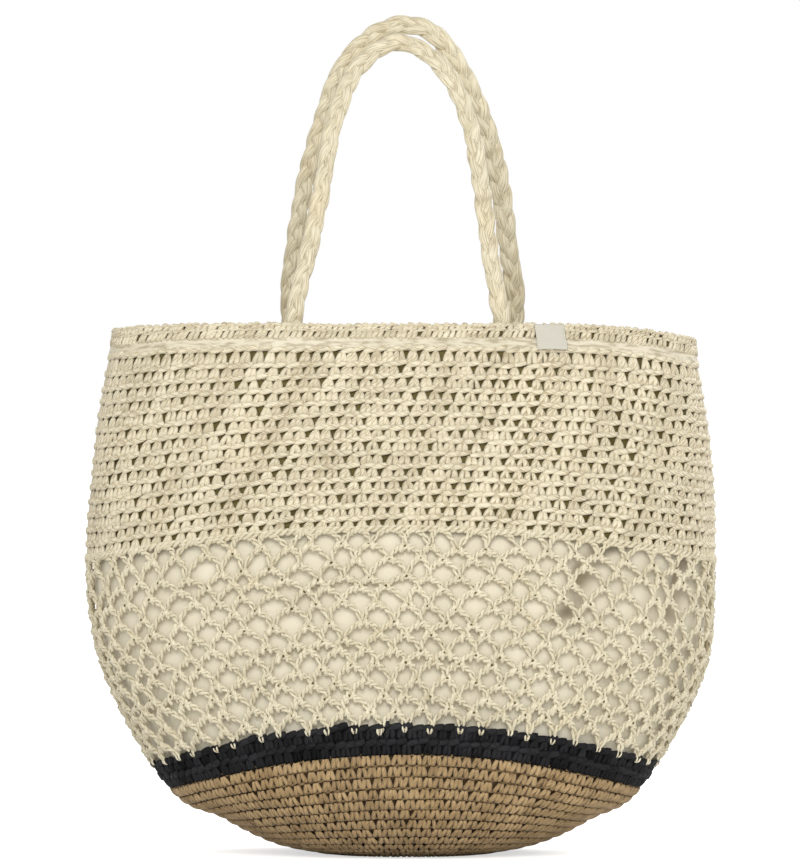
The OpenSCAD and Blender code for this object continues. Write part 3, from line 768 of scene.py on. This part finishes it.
# Lining: a cotton bag that hangs from the edge in soft folds
# Each crease has its place round the belly, slant, sway, half width, strength and the levels over which it starts
liningLook = {
    "depth": 0.0049, "fold": 0.0016, "thick": 0.0005, "top": (vEdge + vTop) / 2, "seam": 2.0, "around": 360, "rows": 90,
    "creaseDepth": 0.011, "creaseShade": 0.9, "creases": [
        {"at": 0.134, "slant": 0.036, "sway": (0.004, 9), "half": 0.0085, "strength": (0.75, 0.25), "from": (4.0, 4.3)},
        {"at": 0.197, "slant": 0.0, "sway": (0.006, 4), "half": 0.008, "strength": (0.8, 0.0), "from": (4.2, 4.5)}],
}
f = np.linspace(0, 1, liningLook["around"], endpoint=False)
v = np.linspace(liningLook["seam"], liningLook["top"], liningLook["rows"])
ff, vv = np.meshgrid(f, v)
soft = smoothStep(vv, 2.2, 3.4) * (1 - smoothStep(vv, 6.2, 6.75))
folds = (0.5 + 0.5 * np.sin(2 * np.pi * (9 * ff + 0.25 * np.sin(2.2 * vv)) + 1.5 * np.sin(vv * 1.3))) * 0.45
folds += (0.5 + 0.5 * np.sin(2 * np.pi * (23 * ff - 0.12 * vv) + 2.0 * np.sin(vv * 2.1 + 6 * ff))) * 0.35
folds += (0.5 + 0.5 * np.sin(2 * np.pi * (4 * ff + 0.5 * vv) + 2.0)) * 0.5
# Two deeper creases low on the right of the front, each a bell across its own slanting line
crease = 0
for c in liningLook["creases"]:
    off = ff - c["at"] - c["slant"] * (vv - 5) - c["sway"][0] * np.sin(vv * c["sway"][1])
    strength = c["strength"][0] + c["strength"][1] * np.sin(15 * vv + 1)
    crease += strength * np.exp(-(off / c["half"]) ** 2) * smoothStep(vv, *c["from"]) * (1 - smoothStep(vv, 4.95, 5.1))
depth = liningLook["depth"] + soft * liningLook["fold"] * folds + liningLook["creaseDepth"] * crease
points, outs = onBag(ff, vv, -depth)
quads = ringQuads(np.arange(ff.size).reshape(ff.shape))
fs = np.stack([ff[:-1], ff[:-1] + 1 / len(f), ff[1:] + 1 / len(f), ff[1:]], -1)
vs = np.stack([vv[:-1], vv[:-1], vv[1:], vv[1:]], -1)
uv = np.stack([fs * 1.05, vs * 0.075], -1)
# Painted shade: the cloth's colour darkens deep in the two creases
shade = 1 - liningLook["creaseShade"] * np.clip(crease, 0, 1) ** 1.5
liningWall = clothPiece("lining_cloth", points, [quads.reshape(-1, 4)], cottonCloth, [uv.reshape(-1, 2)],
                        shade.ravel(), liningLook["thick"], ("lining_wall",))

f = np.linspace(0, 1, 120, endpoint=False)
v = np.linspace(-0.985, liningLook["seam"] + 0.04, 60)
ff, vv = np.meshgrid(f, v)
ripple = 0.0006 * np.sin(14 * ff * np.pi + 3 * vv) * smoothStep(vv, -0.8, 0.5)
points, outs = onBag(ff, vv, -(liningLook["depth"] + 0.0008 + ripple))
centre = np.array([[0, 0, points[0, :, 2].mean()]])
number = np.arange(ff.size).reshape(ff.shape)
quads = ringQuads(number)
fan = np.stack([np.full(len(f), ff.size), np.roll(number[0], -1), number[0]], -1)
flatPoints = np.concatenate([points.reshape(-1, 3), centre])
uv = [flatPoints[q.reshape(-1), :2] for q in (quads.reshape(-1, 4), fan)]
liningBottom = clothPiece("lining_bottom_panel", flatPoints, [quads.reshape(-1, 4), fan], cottonCloth, uv,
                          np.ones(len(flatPoints)), liningLook["thick"], ("lining_bottom",))

# Braided handles: three bundles of flat straws each, sewn down inside at both ends
handleLook = {
    "pitch": 0.052, "swing": 0.0031, "depthSwing": 0.0019, "halfWidth": 0.0035, "halfThick": 0.0020, "sides": 22,
    "tabHeight": 0.044, "tabDepth": 0.0101, "step": 0.0022, "hingeZ": rimZ - 0.002,
    "footY": 0.0563175, "apexY": 0.00654, "lean": 1.2, "lumps": 0.07,
}
# The arch of each handle as it stands, in millimetres across and up
handles = {
    "front": {"side": -1, "seed": 31, "grow": (1.0, 1.0), "arch": [
        (-75, 369), (-72, 390), (-65, 417), (-55, 468), (-47, 510), (-31, 549), (-2, 567),
        (27, 550), (45, 516), (54, 472), (61, 417), (66, 390), (69, 369)]},
    "back": {"side": 1, "seed": 57, "grow": (1.0, 1.14), "arch": [
        (-79, 369), (-80, 390), (-77, 420), (-69, 468), (-58, 508), (-43, 549), (-20, 573), (2, 580),
        (23, 573), (41, 549), (58, 512), (69, 468), (76, 420), (80, 390), (78, 369)]},
}


def evenly(line, step):
    run = np.concatenate([[0], np.cumsum(np.linalg.norm(np.diff(line, axis=0), axis=1))])
    count = max(2, int(round(run[-1] / step)))
    s = np.linspace(0, run[-1], count + 1)
    return np.stack([np.interp(s, run, line[:, a]) for a in range(3)], -1), s


# Middle line: up the inside of the edge, over a rounded arch that leans in, and down again
def handleLine(h):
    knots = np.array(h["arch"], float) / 1000
    ring = np.vstack([2 * knots[0] - knots[1], knots, 2 * knots[-1] - knots[-2]])
    q = np.linspace(0, len(knots) - 1, 721)
    i = np.minimum(q.astype(int), len(knots) - 2)
    t = (q - i)[:, None]
    p0, p1, p2, p3 = ring[i], ring[i + 1], ring[i + 2], ring[i + 3]
    curve = 0.5 * (2 * p1 + (p2 - p0) * t + (2 * p0 - 5 * p1 + 4 * p2 - p3) * t ** 2 + (3 * p1 - p0 - 3 * p2 + p3) * t ** 3)
    high = np.clip((curve[:, 1] - knots[0, 1]) / (knots[:, 1].max() - knots[0, 1]), 0, 1)
    y = h["side"] * (handleLook["footY"] + (handleLook["apexY"] - handleLook["footY"]) * high ** handleLook["lean"])
    arch = np.stack([curve[:, 0], y, curve[:, 1]], -1)
    ends = []
    for foot in (arch[0], arch[-1]):
        f = np.linspace(0, 1, 2881)
        ring, _ = onBag(f, np.full(len(f), vEdge), 0.0)
        near = np.argmin(np.abs(ring[:, 0] - foot[0]) + 10 * (np.sign(ring[:, 1]) != h["side"]))
        v = levelAt(np.linspace(handleLook["hingeZ"] - handleLook["tabHeight"], handleLook["hingeZ"] - 0.006, 20))
        tab, _ = onBag(np.full(20, f[near]), v, np.full(20, -handleLook["tabDepth"]))
        tab[:, 0] += foot[0] - tab[-1, 0]
        ends.append(tab)
    line = np.concatenate([ends[0], arch[2:-2], ends[1][::-1]])
    line, s = evenly(line, handleLook["step"] / 4)
    kernel = np.hanning(31) / np.hanning(31).sum()
    wide = np.concatenate([np.repeat(line[:1], 15, 0), line, np.repeat(line[-1:], 15, 0)])
    line = np.stack([np.convolve(wide[:, a], kernel, "valid") for a in range(3)], -1)
    return evenly(line, handleLook["step"])


for name, h in handles.items():
    line, s = handleLine(h)
    along = unit(np.gradient(line, axis=0))
    out = unit(np.array([0, 1.0, 0]) - along[:, 1:2] * along)
    across = np.cross(along, out)
    inTab = 1 - smoothStep(np.minimum(s, s[-1] - s), handleLook["tabHeight"] - 0.012, handleLook["tabHeight"] + 0.006)
    r = np.random.default_rng(h["seed"])
    grow = h["grow"][0] + (h["grow"][1] - h["grow"][0]) * smoothStep(s / s[-1], 0.35, 0.65)
    for k in range(3):
        phase = 2 * np.pi * (s - s[-1] / 2) / handleLook["pitch"] + 2 * np.pi * k / 3
        starts = r.uniform(0, 6.3, 2)
        wander = 0.0003 * np.sin(2 * np.pi * s / 0.11 + starts[0]) + 0.00018 * np.sin(2 * np.pi * s / 0.037 + starts[1])
        centre = (line + (handleLook["swing"] * grow * np.sin(phase) + wander)[:, None] * across
                  + (handleLook["depthSwing"] * (1 - 0.25 * inTab) * np.sin(2 * phase))[:, None] * out)
        wide = handleLook["halfWidth"] * grow * (1 + 0.10 * np.cos(2 * phase) + 0.06 * np.sin(s * 410 + k))
        thick = handleLook["halfThick"] * (1 - 0.2 * inTab) * (1 - 0.06 * np.cos(2 * phase))
        ends = np.clip(np.minimum(s, s[-1] - s) / 0.004, 0.25, 1)
        p, polygons, uv = tubes(centre[None], out[None], (wide * ends)[None], (thick * ends)[None], handleLook["sides"],
                                twist=7.0, lumps=handleLook["lumps"], lumpCount=7)
        tone = np.clip(0.55 + 0.25 * np.sin(s * 180 + k * 2) + r.normal(0, 0.08, len(s)), 0, 1)
        stands = (f"{name}_strand_{k + 1}",) + ((f"{name}_left_tab", f"{name}_right_tab") if k == 0 else ())
        piece = yarnPiece(f"{name}_braid_strand_{k + 1}", [(p, polygons, uv, np.repeat(tone, handleLook["sides"]))],
                          braidStraw, body=None, stands=stands)
        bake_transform(piece)
print("handles ready")


# Sewing: short threads that dip into the cloth at both ends
def sewn(name, starts, ends, rise, dip, radius, stands):
    # starts and ends are arrays of (fraction, level, distance out)
    t = np.linspace(0, 1, 7)[None, :, None]
    route = starts[:, None, :] * (1 - t) + ends[:, None, :] * t
    hump = (np.sin(np.pi * t[..., 0]) ** 0.4)
    centres, outs = onBag(route[..., 0], route[..., 1], route[..., 2] - dip - (rise - dip) * hump)
    p, polygons, uv = tubes(centres, outs, radius, radius, 6, twist=200)
    yarnPiece(name, [(p, polygons, uv, np.full(len(p), 0.6))], sewingThread, stands=stands)


count = 60
f = np.arange(count) / count
ring, _ = onBag(f, np.full(count, vEdge), 0.0)
feet = [(h["arch"][end][0] / 1000, h["side"]) for h in handles.values() for end in (0, -1)]
clear = np.ones(count, bool)
for x, side in feet:
    clear &= ~((np.abs(ring[:, 0] - x) < 0.020) & (np.sign(ring[:, 1]) == side))
f = f[clear]
level = np.full(len(f), vEdge)
inside = np.full(len(f), -liningLook["depth"] - liningLook["thick"])
sewn("lining_running_stitches", np.stack([f, level, inside], -1), np.stack([f + 0.45 / count, level, inside], -1),
     0.0005, -0.0003, 0.0004, ("lining_stitches",))


def fractionAt(x, side, v):
    f = np.linspace(0, 1, 2881)
    ring, _ = onBag(f, np.full(len(f), v), 0.0)
    return f[np.argmin(np.abs(ring[:, 0] - x) + 10 * (np.sign(ring[:, 1]) != side))]


starts, ends = [], []
for x, side in feet:
    for i in range(3):
        z = handleLook["hingeZ"] - handleLook["tabHeight"] * (i + 1) / 4
        a, b = fractionAt(x - 0.0066, side, levelAt(z)), fractionAt(x + 0.0066, side, levelAt(z))
        for lift in (0.0025, -0.0025):
            starts.append((a, levelAt(z + lift), 0.0))
            ends.append((b, levelAt(z - lift), 0.0))
sewn("handle_end_stitches", np.array(starts), np.array(ends), 0.0142, 0.0062, 0.00045, ("tab_stitches",))
print("sewing ready")

# Blank label on the front of the edge
labelLook = {"width": 0.021, "height": 0.0165, "x": 0.1025, "drop": 0.0005, "out": 0.0019, "thick": 0.0004}
t = np.linspace(-1, 1, 25)
w = np.linspace(0, 1, 21)
tt, ww = np.meshgrid(t, w)
labelTop = levelAt(rimZ - labelLook["drop"])
labelLow = levelAt(rimZ - labelLook["drop"] - labelLook["height"])
middleF = fractionAt(labelLook["x"], -1, vEdge)
halfF = labelLook["width"] / 2 / girth(vEdge)
ff = middleF + halfF * tt * (1 + 0.01 * np.sin(ww * 9))
vv = labelLow + (labelTop - labelLow) * ww
puff = 0.0005 * (1 - tt ** 4) + 0.0002 * np.sin(ww * 11 + 2 * tt) * (1 - tt ** 2)
points, outs = onBag(ff, vv, labelLook["out"] + puff)
number = np.arange(ff.size).reshape(ff.shape)
quads = np.stack([number[:-1, :-1], number[:-1, 1:], number[1:, 1:], number[1:, :-1]], -1)
local = np.stack([tt * labelLook["width"] / 2, ww * labelLook["height"]], -1).reshape(-1, 2)
blankLabel = clothPiece("blank_label", points, [quads.reshape(-1, 4)], labelCloth, [local[quads.reshape(-1)]],
                        np.ones(ff.size), labelLook["thick"], ("label",))
starts, ends = [], []
for side in (-1, 1):
    for i in range(4):
        level = labelLow + (labelTop - labelLow) * (i + 0.5) / 4
        starts.append((middleF + side * halfF * 0.90, level - 0.02, 0.0))
        ends.append((middleF + side * halfF * 0.90, level + 0.02, 0.0))
sewn("label_end_stitches", np.array(starts), np.array(ends), -0.0026, -0.0016, 0.00022, ("label_stitches",))
print("label ready")

# Floor
bpy.ops.mesh.primitive_circle_add(vertices=96, radius=studio["floorRadius"], fill_type="NGON", location=(0, 0, 0))
floor = bpy.context.active_object
floor.name = "floor"
floor.data.materials.append(floorFinish)
